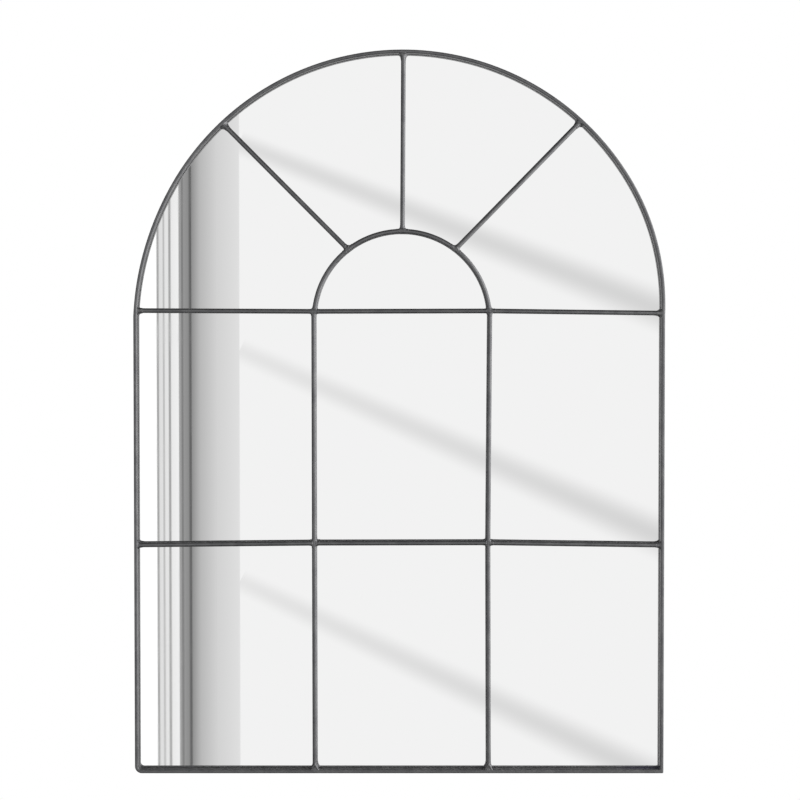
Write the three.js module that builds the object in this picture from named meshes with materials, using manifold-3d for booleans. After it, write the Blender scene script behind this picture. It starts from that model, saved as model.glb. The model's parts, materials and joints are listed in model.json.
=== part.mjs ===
// Arched window mirror: a bent flat-bar frame, a welded grid of round rods, a silvered glass on
// foam tape, and a board held in from behind by welded tabs. It hangs on two D-rings.
// Millimetres. x runs right, y runs back to the wall, z runs up, and the front faces -y.
import * as THREE from "three";
import { mergeVertices, toCreasedNormals } from "three/addons/utils/BufferGeometryUtils.js";
import Module from "manifold-3d";

const wasm = await Module();
wasm.setup();

// Outer frame: one flat bar on edge, bent round and closed by a weld at the bottom right corner.
const frameWidth = 610;
const frameHeight = 832;
const stripThickness = 4;
const stripDepth = 25;
const stripArris = 0.6;
const bentCornerRadius = 8; // outside radius of the bend at the bottom left
const weldedCornerRadius = 1.5;
const crownLean = 4.2; // the hand-bent arch stands this far right of its sides at the crown
const leanEase = Math.PI / 6; // arc over which each side eases into the lean

// Grid of round rods, welded in just behind the strip's front edge.
const rodDiameter = 5.5;
const rodRecess = 1.2;
const columns = 3;
const upperBarRise = 6.5; // centreline above the springing line of the arch
const gridShift = 2.1; // the uprights sit this far right of the middle
const innerArchSpread = 0.5; // how much its radius is more than half the space of the uprights
const innerArchShift = 3.1;
const innerArchDrop = 2.9; // its centre under the springing line
const spokeFocusShift = 3.4; // the axes of the three spokes cross here
const spokeFocusRise = 14.8;
const spokes = [
  { name: "spoke_left", degrees: 134.9 },
  { name: "spoke_centre", degrees: 89.7 },
  { name: "spoke_right", degrees: 45.6 },
];
// Errors left by hand welding: a bar's height at the left wall, the two uprights and the right
// wall, and an upright's place at the bottom rail, the lower bar and the upper bar.
const upperBarDrift = [0.4, -0.5, 0, -2.5];
const lowerBarDrift = [-2.9, -0.9, -0.5, -3.1];
const uprightDrifts = [
  [0.9, 0.4, 0],
  [0.9, 0, 1.8],
];

// Fillet welds that flare each rod's end.
const weldLeg = 3; // along the piece it is welded to
const weldRise = 4.5; // along the rod
const weldSwell = 0.3; // how much of the leg it stands out to the front
const weldOverrun = 1.2; // metal past the rod's end, for the cope to cut

// Glass and its backing, counted back from the rods.
const tapeWidth = 4;
const tapeThickness = 1.5;
const glassThickness = 3;
const glassArris = 0.4;
const foamThickness = 1;
const boardThickness = 3;
const glassClearance = 0.5; // all round, to the strip
const boardClearance = 1.5;
const foamClearance = 4;
const seatGap = 0.3;
const tapeEndGap = 1;

// Tabs of steel strip, welded to the frame's inner wall and bent over the board.
const tabThickness = 1.2;
const tabWidth = 14;
const tabFoot = 12;
const tabLeg = 5.5;
const tabBend = 1.8; // outside radius
const tabAngles = [45, 90, 135];
const lowerTabRise = 130; // above the bottom edge
const upperTabDrop = 127; // below the springing line
const tabSpread = 150; // each side of the middle on the bottom rail

// Hanger lugs: a plate welded to the wall, its top edge curled round a D-ring.
const lugThickness = 1.5;
const lugReach = 36;
const lugHeight = 26;
const lugCorner = 5;
const curlClearance = 0.35;
const curlDegrees = 200; // where the curled edge ends
const ringWire = 2.5;
const ringHalfWidth = 10; // to the wire's centre
const ringCorner = 3;
const ringLeg = 5;
const ringEndPlay = 0.5;
const ringButtGap = 0.4; // between the wire's two ends, inside the curl

// Smoothness of the round forms.
const archSteps = 60;
const cornerSteps = 5;
const rodSides = 16;
const weldSteps = 4;
const innerArchSteps = 48;
const barSteps = 12;
const ringSteps = 52;
const ringSides = 8;

// Sizes that follow from those.
const springZ = frameHeight - frameWidth / 2;
const rodRadius = rodDiameter / 2;
const insideHalf = frameWidth / 2 - stripThickness;
const columnHalf = insideHalf / columns;
const upperBarZ = springZ + upperBarRise;
const lowerBarZ = upperBarZ / 2;
const uprightX = [gridShift - columnHalf, gridShift + columnHalf];
const barStations = [-insideHalf, ...uprightX, insideHalf];
const uprightStations = [stripThickness, lowerBarZ, upperBarZ];
const innerArchRadius = columnHalf + innerArchSpread;
const innerArchCentre = new THREE.Vector2(innerArchShift, springZ - innerArchDrop);
const spokeFocus = new THREE.Vector2(spokeFocusShift, springZ + spokeFocusRise);
const rodDepth = rodRecess + rodRadius;
const tapeDepth = rodRecess + rodDiameter + seatGap;
const glassDepth = tapeDepth + tapeThickness + seatGap;
const foamDepth = glassDepth + glassThickness + seatGap;
const boardDepth = foamDepth + foamThickness + seatGap;
const backDepth = boardDepth + boardThickness + seatGap;
const wireRadius = ringWire / 2;
const curlRadius = wireRadius + curlClearance;
const pivotDepth = backDepth + lugThickness + curlRadius;
const pivotZ = springZ;
const curlWidth = 2 * (ringHalfWidth - ringCorner - ringEndPlay);
const ringReach = ringLeg + ringCorner + ringHalfWidth; // from the pivot to the bow's centreline
const ringX = insideHalf - seatGap - lugReach + ringHalfWidth;
const hangZ = pivotZ + ringReach - wireRadius; // where a hook bears in the raised rings

const steel = { color: 0x4c4c4e, roughness: 0.45, metalness: 0.7 };
const zinc = { color: 0xa9acae, roughness: 0.35, metalness: 1 };
const silvered = { color: 0xe9edec, roughness: 0.02, metalness: 1 };
const foam = { color: 0x232325, roughness: 0.95, metalness: 0 };
const whiteFoam = { color: 0xdedfdd, roughness: 0.9, metalness: 0 };
const fibreboard = { color: 0x8b6a48, roughness: 0.85, metalness: 0 };

const product = new THREE.Group();
product.position.z = -hangZ; // the drawing's heights start at the bottom edge

function add(name, geometry, finish, parent = product) {
  const mesh = new THREE.Mesh(geometry, new THREE.MeshStandardMaterial(finish));
  mesh.name = name;
  parent.add(mesh);
  return mesh;
}

// Boolean helpers: a closed geometry as a solid, and a solid as a geometry.
function solid(geometry) {
  const bare = new THREE.BufferGeometry().setAttribute("position", geometry.getAttribute("position"));
  bare.setIndex(geometry.index);
  const merged = mergeVertices(bare, 1e-4);
  const corners = merged.index.array;
  const triVerts = [];
  for (let i = 0; i < corners.length; i += 3) {
    const [a, b, c] = corners.slice(i, i + 3);
    if (a !== b && b !== c && c !== a) triVerts.push(a, b, c);
  }
  const vertProperties = merged.getAttribute("position").array;
  return new wasm.Manifold(
    new wasm.Mesh({ numProp: 3, vertProperties, triVerts: new Uint32Array(triVerts) }),
  );
}

function geometryOf(manifold) {
  const mesh = manifold.getMesh();
  const geometry = new THREE.BufferGeometry();
  geometry.setAttribute("position", new THREE.BufferAttribute(mesh.vertProperties, 3));
  geometry.setIndex(new THREE.BufferAttribute(mesh.triVerts, 1));
  return toCreasedNormals(geometry, Math.PI / 5);
}

// A point of the grid's plane.
function at(x, z) {
  return new THREE.Vector2(x, z);
}

// Moves every vertex of a geometry by a function that changes the vector it is given.
function reshape(geometry, change) {
  const place = geometry.getAttribute("position");
  const point = new THREE.Vector3();
  for (let i = 0; i < place.count; i += 1) {
    change(point.fromBufferAttribute(place, i));
    place.setXYZ(i, point.x, point.y, point.z);
  }
  return geometry;
}

// A point on the arch, phi from the right springing point over the crown.
function archPoint(radius, phi) {
  const fromSide = Math.min(phi, Math.PI - phi);
  const lean = crownLean * Math.sin((Math.min(fromSide, leanEase) / leanEase) * (Math.PI / 2));
  return new THREE.Vector2(radius * Math.cos(phi) + lean, springZ + radius * Math.sin(phi));
}

// The frame's outline, moved in by an inset. Both bottom corners keep a radius that can be made.
function outline(inset, Kind = THREE.Shape) {
  const half = frameWidth / 2 - inset;
  const bend = Math.max(bentCornerRadius - inset, weldedCornerRadius);
  const square = weldedCornerRadius;
  const path = new Kind();
  path.moveTo(-half + bend, inset);
  path.lineTo(half - square, inset);
  path.absarc(half - square, inset + square, square, -Math.PI / 2, 0, false);
  for (let i = 0; i <= archSteps; i += 1) {
    const point = archPoint(half, (i / archSteps) * Math.PI);
    path.lineTo(point.x, point.y);
  }
  path.lineTo(-half, inset + bend);
  path.absarc(-half + bend, inset + bend, bend, Math.PI, 1.5 * Math.PI, false);
  return path;
}

// A flat piece cut to a shape, its front face at a depth behind the strip's front edge.
function sheet(shape, frontDepth, thickness, arris = 0, arrisSteps = 1) {
  const geometry = new THREE.ExtrudeGeometry(shape, {
    depth: thickness - 2 * arris,
    bevelEnabled: arris > 0,
    bevelThickness: arris,
    bevelSize: arris,
    bevelOffset: -arris,
    bevelSegments: arrisSteps,
    curveSegments: cornerSteps,
  });
  geometry.translate(0, 0, arris);
  geometry.rotateX(Math.PI / 2);
  return geometry.translate(0, frontDepth + thickness - stripDepth, 0);
}

// ---- outer frame ----
function makeFrame() {
  const shape = outline(0);
  shape.holes.push(outline(stripThickness, THREE.Path));
  add("outer_frame", sheet(shape, 0, stripDepth, stripArris, 2), steel);
}

// ---- grid ----
// A rod that stands on z with a fillet weld flaring each end. The weld is widest where it meets
// the next piece, at 0 and at the length, and runs on past there to be coped.
function weldedRod(length, steps = 1) {
  const flare = (s) => rodRadius + weldLeg * (1 - Math.sqrt(1 - (1 - s / weldRise) ** 2));
  const end = [new THREE.Vector2(0, -weldOverrun), new THREE.Vector2(flare(0), -weldOverrun)];
  for (let i = 0; i <= weldSteps; i += 1) {
    const s = weldRise * (i / weldSteps) ** 1.5;
    end.push(new THREE.Vector2(flare(s), s));
  }
  const profile = [...end];
  for (let i = 1; i < steps; i += 1) {
    profile.push(new THREE.Vector2(rodRadius, weldRise + ((length - 2 * weldRise) * i) / steps));
  }
  for (const point of end.reverse()) profile.push(new THREE.Vector2(point.x, length - point.y));
  const rod = new THREE.LatheGeometry(profile, rodSides, Math.PI / rodSides).rotateX(Math.PI / 2);
  // The weld spreads in the plane of the grid. It swells a little to the front, and not at all
  // towards the tape and the glass.
  return reshape(rod, (point) => {
    const radius = Math.hypot(point.x, point.y);
    const swell = point.y < 0 ? (radius - rodRadius) * weldSwell : 0;
    if (radius > rodRadius) point.y *= (rodRadius + swell) / radius;
  });
}

// A plain round bar on z, fatter than a rod by the seat gap, that copes what lands on the rod.
function copingBar(length, steps = 1) {
  const radius = (rodRadius + seatGap) / Math.cos(Math.PI / rodSides);
  const bar = new THREE.CylinderGeometry(radius, radius, length, rodSides, steps);
  return bar.rotateX(Math.PI / 2).translate(0, 0, length / 2);
}

// Lays a piece that stands on z along the line from one point of the grid to another.
function lay(geometry, from, to) {
  const along = to.clone().sub(from);
  geometry.rotateY(Math.atan2(along.x, along.y));
  return geometry.translate(from.x, rodDepth - stripDepth, from.y);
}

// Bends a piece that stands on z round the inner arch, from a start angle.
function bendRoundArch(geometry, startAngle) {
  return reshape(geometry, (point) => {
    const angle = startAngle + point.z / innerArchRadius;
    const radius = innerArchRadius + point.x;
    point.set(
      innerArchCentre.x + radius * Math.cos(angle),
      point.y + rodDepth - stripDepth,
      innerArchCentre.y + radius * Math.sin(angle),
    );
  });
}

// The error at a place along a bar, between the errors at its stations.
function drift(list, stations, place) {
  const last = stations.length - 2;
  const found = stations.findIndex((station, i) => i < last && place < stations[i + 1]);
  const span = found < 0 ? last : found;
  const share = (place - stations[span]) / (stations[span + 1] - stations[span]);
  return list[span] + (list[span + 1] - list[span]) * share;
}

const upperHeight = (x) => upperBarZ + drift(upperBarDrift, barStations, x);
const lowerHeight = (x) => lowerBarZ + drift(lowerBarDrift, barStations, x);
const uprightPlace = (i, z) => uprightX[i] + drift(uprightDrifts[i], uprightStations, z);

// Bows a straight level bar or upright to the errors that its welds pulled into it.
function bowLevel(geometry) {
  return reshape(geometry, (point) => {
    point.z += upperHeight(point.x) - upperBarZ;
  });
}

function bowUpright(geometry, i) {
  return reshape(geometry, (point) => {
    point.x += uprightPlace(i, point.z) - uprightX[i];
  });
}

// The two ends of one length of the lower bar, each drawn in from the wall or the upright.
function lowerBarEnds(i, wallGap, uprightGap) {
  const startX = i > 0 ? uprightPlace(i - 1, lowerBarZ) + uprightGap : -insideHalf + wallGap;
  const endX = i < columns - 1 ? uprightPlace(i, lowerBarZ) - uprightGap : insideHalf - wallGap;
  return [at(startX, lowerHeight(startX)), at(endX, lowerHeight(endX))];
}

// The angle at which the inner arch's centreline is a distance above the upper bar's centreline.
function archFootAngle(side, distance) {
  const height = upperHeight(innerArchCentre.x + side * innerArchRadius) + distance;
  return Math.asin((height - innerArchCentre.y) / innerArchRadius);
}

const insideFrame = solid(sheet(outline(stripThickness + seatGap), 0, stripDepth));

function makeGrid() {
  const rod = (from, to) => solid(lay(weldedRod(from.distanceTo(to)), from, to));
  const finish = (name, body) => add(name, geometryOf(body), steel);

  // Upper bar, from wall to wall.
  const upperEnds = [at(-insideHalf, upperBarZ), at(insideHalf, upperBarZ)];
  const level = (geometry) => solid(bowLevel(lay(geometry, ...upperEnds)));
  finish("upper_bar", level(weldedRod(2 * insideHalf, barSteps)).intersect(insideFrame));
  const upperCoping = level(copingBar(2 * insideHalf, barSteps));

  // Uprights, from the bottom rail to the underside of the upper bar.
  const uprightCopings = [];
  ["upright_left", "upright_right"].forEach((name, i) => {
    const foot = at(uprightX[i], stripThickness);
    const top = at(uprightX[i], upperHeight(uprightX[i]) - rodRadius);
    const length = foot.distanceTo(top);
    const stand = (geometry) => solid(bowUpright(lay(geometry, foot, top), i));
    finish(name, stand(weldedRod(length, barSteps)).intersect(insideFrame).subtract(upperCoping));
    uprightCopings.push(stand(copingBar(length, barSteps)));
  });

  // Lower bar, in three lengths between the walls and the uprights.
  ["lower_bar_left", "lower_bar_centre", "lower_bar_right"].forEach((name, i) => {
    let body = rod(...lowerBarEnds(i, 0, rodRadius)).intersect(insideFrame);
    for (const upright of uprightCopings) body = body.subtract(upright);
    finish(name, body);
  });

  // Inner arch, one rod bent to a half circle, its feet on the upper bar.
  const start = archFootAngle(1, rodRadius);
  const arc = Math.PI - start - archFootAngle(-1, rodRadius);
  const innerArch = bendRoundArch(weldedRod(arc * innerArchRadius, innerArchSteps), start);
  finish("inner_arch", solid(innerArch).subtract(upperCoping));
  const archLength = Math.PI * innerArchRadius;
  const archCoping = solid(bendRoundArch(copingBar(archLength, innerArchSteps), 0));

  // Spokes, fanned out from the inner arch to the strip.
  for (const spoke of spokes) {
    const body = rod(...spokeEnds(spoke, rodRadius, 0)).intersect(insideFrame);
    finish(spoke.name, body.subtract(archCoping));
  }
}

// Where a spoke's axis leaves the inner arch and reaches the strip's wall, each moved along it.
function spokeEnds(spoke, innerGap, outerGap) {
  const angle = THREE.MathUtils.degToRad(spoke.degrees);
  const along = at(Math.cos(angle), Math.sin(angle));
  const reach = (centre, radius) => {
    const offset = spokeFocus.clone().sub(centre);
    const middle = -offset.dot(along);
    return middle + Math.sqrt(middle ** 2 + radius ** 2 - offset.lengthSq());
  };
  const inner = reach(innerArchCentre, innerArchRadius) + innerGap;
  const outer = reach(at(crownLean, springZ), insideHalf) - outerGap;
  return [inner, outer].map((distance) => spokeFocus.clone().addScaledVector(along, distance));
}

// ---- foam tape behind the rods ----
function makeTape() {
  const wallGap = weldRise + tapeEndGap;
  const crossGap = tapeWidth / 2 + tapeEndGap;
  const depth = tapeDepth + tapeThickness / 2 - stripDepth;
  const strip = (name, from, to, steps = 1) => {
    const length = from.distanceTo(to);
    const tape = new THREE.BoxGeometry(tapeWidth, tapeThickness, length, 1, 1, steps);
    tape.translate(0, 0, length / 2);
    tape.rotateY(Math.atan2(to.x - from.x, to.y - from.y));
    return add(name, tape.translate(from.x, depth, from.y), foam).geometry;
  };

  const barEnd = insideHalf - wallGap;
  const upperEnds = [at(-barEnd, upperBarZ), at(barEnd, upperBarZ)];
  bowLevel(strip("tape_upper_bar", ...upperEnds, barSteps));

  ["tape_upright_left", "tape_upright_right"].forEach((name, i) => {
    const foot = at(uprightX[i], stripThickness + wallGap);
    const top = at(uprightX[i], upperHeight(uprightX[i]) - crossGap);
    bowUpright(strip(name, foot, top, barSteps), i);
  });

  ["tape_lower_bar_left", "tape_lower_bar_centre", "tape_lower_bar_right"].forEach((name, i) => {
    strip(name, ...lowerBarEnds(i, wallGap, crossGap));
  });

  // The arch's tape is a flat ring segment between two ends over the upper bar's tape.
  const [start, end] = [archFootAngle(1, crossGap), Math.PI - archFootAngle(-1, crossGap)];
  const ring = new THREE.Shape();
  for (const [side, from, to] of [[1, start, end], [-1, end, start]]) {
    const radius = innerArchRadius + (side * tapeWidth) / 2;
    for (let i = 0; i <= innerArchSteps / 2; i += 1) {
      const angle = from + ((to - from) * i) / (innerArchSteps / 2);
      const x = innerArchCentre.x + radius * Math.cos(angle);
      const z = innerArchCentre.y + radius * Math.sin(angle);
      if (side === 1 && i === 0) ring.moveTo(x, z);
      else ring.lineTo(x, z);
    }
  }
  add("tape_inner_arch", sheet(ring, tapeDepth, tapeThickness), foam);

  for (const spoke of spokes) {
    strip("tape_" + spoke.name, ...spokeEnds(spoke, crossGap, wallGap));
  }
}

// ---- glass, foam sheet and backing board ----
function makePanels() {
  const pane = outline(stripThickness + glassClearance);
  const boardOutline = outline(stripThickness + boardClearance);
  const foamPanel = outline(stripThickness + foamClearance);
  add("mirror_glass", sheet(pane, glassDepth, glassThickness, glassArris), silvered);
  add("foam_sheet", sheet(foamPanel, foamDepth, foamThickness), whiteFoam);
  add("backing_board", sheet(boardOutline, boardDepth, boardThickness), fibreboard);
}

// ---- tabs ----
// A bent tab in a frame of its own: u points from the wall into the mirror, y to the wall behind.
function tabGeometry() {
  const inner = tabBend - tabThickness;
  const foot = backDepth;
  const tip = foot + tabThickness + tabLeg;
  const profile = new THREE.Shape();
  profile.moveTo(seatGap, tip);
  profile.lineTo(seatGap, foot + tabBend);
  profile.absarc(seatGap + tabBend, foot + tabBend, tabBend, Math.PI, 1.5 * Math.PI, false);
  profile.lineTo(tabFoot, foot);
  profile.lineTo(tabFoot, foot + tabThickness);
  profile.lineTo(seatGap + tabBend, foot + tabThickness);
  profile.absarc(seatGap + tabBend, foot + tabBend, inner, 1.5 * Math.PI, Math.PI, true);
  profile.lineTo(seatGap + tabThickness, tip);
  const options = { depth: tabWidth, bevelEnabled: false, curveSegments: cornerSteps };
  const tab = new THREE.ExtrudeGeometry(profile, options);
  return tab.translate(0, -stripDepth, -tabWidth / 2);
}

function makeTabs() {
  const tab = tabGeometry();
  const place = (name, x, z, inward) => {
    const mesh = add(name, tab, zinc);
    mesh.position.set(x, 0, z);
    mesh.rotation.y = -Math.atan2(inward.y, inward.x);
  };
  const up = at(0, 1);
  place("tab_bottom_left", -tabSpread, stripThickness, up);
  place("tab_bottom_right", tabSpread, stripThickness, up);
  for (const [level, height] of [["lower", lowerTabRise], ["upper", springZ - upperTabDrop]]) {
    place("tab_left_" + level, -insideHalf, height, at(1, 0));
    place("tab_right_" + level, insideHalf, height, at(-1, 0));
  }
  ["right", "crown", "left"].forEach((side, i) => {
    const angle = THREE.MathUtils.degToRad(tabAngles[i]);
    const point = archPoint(insideHalf, angle);
    place("tab_arch_" + side, point.x, point.y, at(-Math.cos(angle), -Math.sin(angle)));
  });
}

// ---- hangers ----
// The lug's plate lies on the board's back and its curl goes round the ring's straight side.
function lugGeometry() {
  const plate = new THREE.Shape();
  const inner = -lugReach;
  plate.moveTo(0, -lugHeight);
  plate.lineTo(0, 0);
  plate.lineTo(inner, 0);
  plate.lineTo(inner, -lugHeight + lugCorner);
  plate.absarc(inner + lugCorner, -lugHeight + lugCorner, lugCorner, Math.PI, 1.5 * Math.PI, false);
  const flat = sheet(plate, backDepth, lugThickness);

  const outer = curlRadius + lugThickness;
  const curlEnd = THREE.MathUtils.degToRad(curlDegrees);
  const curl = new THREE.Shape();
  curl.moveTo(-lugThickness, -outer);
  curl.absarc(0, 0, outer, -Math.PI / 2, curlEnd, false);
  curl.absarc(0, 0, curlRadius, curlEnd, -Math.PI / 2, true);
  curl.lineTo(-lugThickness, -curlRadius);
  const options = { depth: curlWidth, bevelEnabled: false, curveSegments: 4 * cornerSteps };
  const rolled = new THREE.ExtrudeGeometry(curl, options).translate(0, 0, -curlWidth / 2);
  // The profile is drawn in (z, y), so its extrusion is turned to run along x.
  const turn = new THREE.Matrix4().makeBasis(
    new THREE.Vector3(0, 0, 1),
    new THREE.Vector3(0, 1, 0),
    new THREE.Vector3(-1, 0, 0),
  );
  rolled.applyMatrix4(turn);
  rolled.translate(ringHalfWidth - lugReach, pivotDepth - stripDepth, 0);
  return geometryOf(solid(flat).add(solid(rolled)));
}

// Centreline of a D-ring that hangs down from its straight side, from butt end to butt end.
class RingLine extends THREE.Curve {
  constructor() {
    super();
    const side = ringHalfWidth - ringCorner;
    const low = -ringCorner - ringLeg;
    this.path = new THREE.Path();
    this.path.moveTo(ringButtGap / 2, 0);
    this.path.lineTo(side, 0);
    this.path.absarc(side, -ringCorner, ringCorner, Math.PI / 2, 0, true);
    this.path.lineTo(ringHalfWidth, low);
    this.path.absarc(0, low, ringHalfWidth, 0, -Math.PI, true);
    this.path.lineTo(-ringHalfWidth, -ringCorner);
    this.path.absarc(-side, -ringCorner, ringCorner, Math.PI, Math.PI / 2, true);
    this.path.lineTo(-ringButtGap / 2, 0);
  }

  getPoint(share, target = new THREE.Vector3()) {
    const point = this.path.getPointAt(share);
    return target.set(point.x, 0, point.y);
  }
}

function makeHangers() {
  const wire = new THREE.Shape();
  for (let i = 0; i < ringSides; i += 1) {
    const angle = ((i + 0.5) / ringSides) * 2 * Math.PI;
    const [u, v] = [wireRadius * Math.cos(angle), wireRadius * Math.sin(angle)];
    if (i === 0) wire.moveTo(u, v);
    else wire.lineTo(u, v);
  }
  const ringOptions = { steps: ringSteps, bevelEnabled: false, extrudePath: new RingLine() };
  const ring = new THREE.ExtrudeGeometry(wire, ringOptions);
  const lug = lugGeometry();

  for (const [side, sign] of [["left", -1], ["right", 1]]) {
    const hanger = new THREE.Group();
    hanger.position.set(sign * (insideHalf - seatGap), 0, pivotZ);
    product.add(hanger);
    const plate = sign > 0 ? lug : mirrored(lug);
    add("hanger_lug_" + side, plate, zinc, hanger);
    const loop = add("d_ring_" + side, ring, zinc, hanger);
    loop.position.set(sign * (ringHalfWidth - lugReach), pivotDepth - stripDepth, 0);
  }
}

function mirrored(geometry) {
  const copy = geometry.clone().scale(-1, 1, 1);
  const place = copy.getAttribute("position");
  const flipped = new Float32Array(place.array.length);
  for (let i = 0; i < place.count; i += 1) {
    const from = i - (i % 3) + (2 - (i % 3));
    flipped.set([place.getX(from), place.getY(from), place.getZ(from)], i * 3);
  }
  const turned = new THREE.BufferGeometry();
  turned.setAttribute("position", new THREE.BufferAttribute(flipped, 3));
  turned.computeVertexNormals();
  return turned;
}

makeFrame();
makeGrid();
makeTape();
makePanels();
makeTabs();
makeHangers();

export default product;
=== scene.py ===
import json
import math

import bmesh
import bpy
from mathutils import Matrix, Vector


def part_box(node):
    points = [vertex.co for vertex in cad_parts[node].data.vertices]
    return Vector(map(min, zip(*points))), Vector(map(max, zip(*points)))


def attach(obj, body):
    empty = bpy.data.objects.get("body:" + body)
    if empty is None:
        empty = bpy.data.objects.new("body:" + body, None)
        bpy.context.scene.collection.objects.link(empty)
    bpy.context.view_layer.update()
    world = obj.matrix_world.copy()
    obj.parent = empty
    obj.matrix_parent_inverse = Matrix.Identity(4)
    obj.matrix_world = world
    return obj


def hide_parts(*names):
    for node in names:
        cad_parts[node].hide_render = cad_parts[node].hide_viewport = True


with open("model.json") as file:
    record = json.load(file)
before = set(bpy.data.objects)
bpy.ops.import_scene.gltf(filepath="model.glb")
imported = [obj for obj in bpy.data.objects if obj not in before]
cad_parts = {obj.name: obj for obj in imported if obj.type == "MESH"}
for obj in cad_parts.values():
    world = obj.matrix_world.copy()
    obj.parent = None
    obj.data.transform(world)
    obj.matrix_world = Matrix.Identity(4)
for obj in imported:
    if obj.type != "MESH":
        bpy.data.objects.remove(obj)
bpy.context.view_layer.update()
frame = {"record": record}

# Arched window mirror: gunmetal paint on welded steel, silvered glass, a fibreboard back.
# The drawing counts in millimetres: x to the right, depth back from the frame's front edge and
# z up from its bottom edge. spot() turns a place in it into the frame's metres.
mm = 0.001
stripLow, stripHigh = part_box("outer_frame")
halfWidth = -stripLow.x / mm
fullHeight = (stripHigh.z - stripLow.z) / mm
stripDepth = (stripHigh.y - stripLow.y) / mm
springZ = fullHeight - halfWidth


def spot(x, depth, z):
    return Vector((x * mm, stripLow.y + depth * mm, stripLow.z + z * mm))


def inPlane(degrees):
    return Vector((math.cos(math.radians(degrees)), 0, math.sin(math.radians(degrees))))


def frontOf(node):
    return (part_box(node)[0].y - stripLow.y) / mm


def thicknessOf(node):
    low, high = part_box(node)
    return (high.y - low.y) / mm


spinAxis = (0, 1, 0)    # with no window open, a spin about it takes +x up to +z


# ---- camera: level with the upper panes, looking a little down ----
view = {
    "height": 510,          # mm above the bottom edge
    "distance": 1500,       # from the front edge
    "tilt": 1.07,           # degrees down
    "lens": 58.88,
    "shift": (0.00105, -0.05525),
}


def makeCamera():
    bpy.ops.object.camera_add(location=spot(0, -view["distance"], view["height"]))
    camera = bpy.context.object
    camera.rotation_euler = (math.radians(90 - view["tilt"]), 0, 0)
    camera.data.lens = view["lens"]
    camera.data.shift_x, camera.data.shift_y = view["shift"]
    camera.data.clip_start = 0.05
    bpy.context.scene.camera = camera


makeCamera()
print("camera placed")


# ---- modelling helpers ----
def begin(primitive, name, **settings):
    bpy.ops.object.select_all(action="DESELECT")
    primitive(**settings)
    bpy.ops.object.transform_apply(location=True, rotation=True, scale=True)
    piece = bpy.context.object
    piece.name = piece.data.name = name
    bpy.ops.object.mode_set(mode="EDIT")
    selectAll()
    return piece


def selectAll():
    bpy.ops.mesh.select_all(action="SELECT")


# Selects the corners, edges or faces whose middle, in the drawing's millimetres, passes a test.
def pick(kind, test):
    bpy.ops.mesh.select_mode(type=kind)
    bpy.ops.mesh.select_all(action="DESELECT")
    mesh = bpy.context.object.data
    shape = bmesh.from_edit_mesh(mesh)
    zero = spot(0, 0, 0)
    for part in {"VERT": shape.verts, "EDGE": shape.edges, "FACE": shape.faces}[kind]:
        corners = [part] if kind == "VERT" else part.verts
        middle = sum((corner.co for corner in corners), Vector()) / len(corners)
        part.select_set(bool(test((middle - zero) / mm, part)))
    shape.select_flush_mode()
    bmesh.update_edit_mesh(mesh)


def extrude(step):
    bpy.ops.mesh.extrude_region_move(TRANSFORM_OT_translate={"value": step})


def outward():
    selectAll()
    bpy.ops.mesh.remove_doubles(threshold=0.002 * mm)
    bpy.ops.mesh.normals_make_consistent(inside=False)


def leave():
    bpy.ops.object.mode_set(mode="OBJECT")


def modify(piece, kind, **settings):
    modifier = piece.modifiers.new(kind.title(), kind)
    for name, value in settings.items():
        setattr(modifier, name, value)
    bpy.context.view_layer.objects.active = piece
    bpy.ops.object.modifier_apply(modifier=modifier.name)


def choose(piece):
    bpy.ops.object.select_all(action="DESELECT")
    piece.select_set(True)
    bpy.context.view_layer.objects.active = piece


def smooth(piece, degrees=35):
    choose(piece)
    bpy.ops.object.shade_smooth_by_angle(angle=math.radians(degrees))


def roundEdges(piece, radius, steps):
    modify(piece, "BEVEL", width=radius * mm, segments=steps, limit_method="ANGLE",
           angle_limit=math.radians(50))
    smooth(piece)


# A flat face beside a rounded arris is kept flat, or a mirror would bulge at its edges.
def flatten():
    bpy.ops.object.mode_set(mode="EDIT")
    pick("FACE", lambda place, face: abs(face.normal.y) > 0.999)
    bpy.ops.mesh.faces_shade_flat()
    leave()


def join(pieces):
    bpy.ops.object.select_all(action="DESELECT")
    for piece in pieces:
        piece.select_set(True)
    bpy.context.view_layer.objects.active = pieces[0]
    bpy.ops.object.join()
    return pieces[0]


def duplicate(pattern, name):
    choose(pattern)
    bpy.ops.object.duplicate()
    piece = bpy.context.object
    piece.name = piece.data.name = name
    return piece


# Soft lumps for hand work, from a cloud texture of a real size.
def unevenness(piece, size, strength):
    cloud = bpy.data.textures.new("uneven_" + piece.name, "CLOUDS")
    cloud.noise_scale = size * mm
    modify(piece, "DISPLACE", texture=cloud, texture_coords="LOCAL", mid_level=0.5,
           strength=strength * mm)


# ---- outline of the arch, shared by the frame, the glass, the foam and the board ----
outline = {
    "wall": 4,              # thickness of the flat bar
    "bend": 8,              # outside radius at the bottom left
    "weld": 1.5,            # radius at the welded bottom right
    "lean": 4.2,            # the crown stands this far right of the sides
    "leanEase": 30,         # degrees of arch over which each side eases into the lean
    "archSteps": 120,
    "cornerSteps": 8,
    "cuts": 39,             # in each straight side
}


# Each side of the hand-bent arch eases over to the right.
def lean(piece):
    group = piece.vertex_groups.new(name="lean")
    zero = spot(0, 0, 0)
    for corner in piece.data.vertices:
        place = (corner.co - zero) / mm
        rise = math.degrees(math.atan2(place.z - springZ, abs(place.x)))
        share = min(max(rise, 0), outline["leanEase"]) / outline["leanEase"]
        group.add([corner.index], math.sin(share * math.pi / 2), "REPLACE")
    modify(piece, "DISPLACE", vertex_group="lean", direction="X", mid_level=0,
           strength=outline["lean"] * mm)
    piece.vertex_groups.remove(piece.vertex_groups["lean"])


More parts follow.
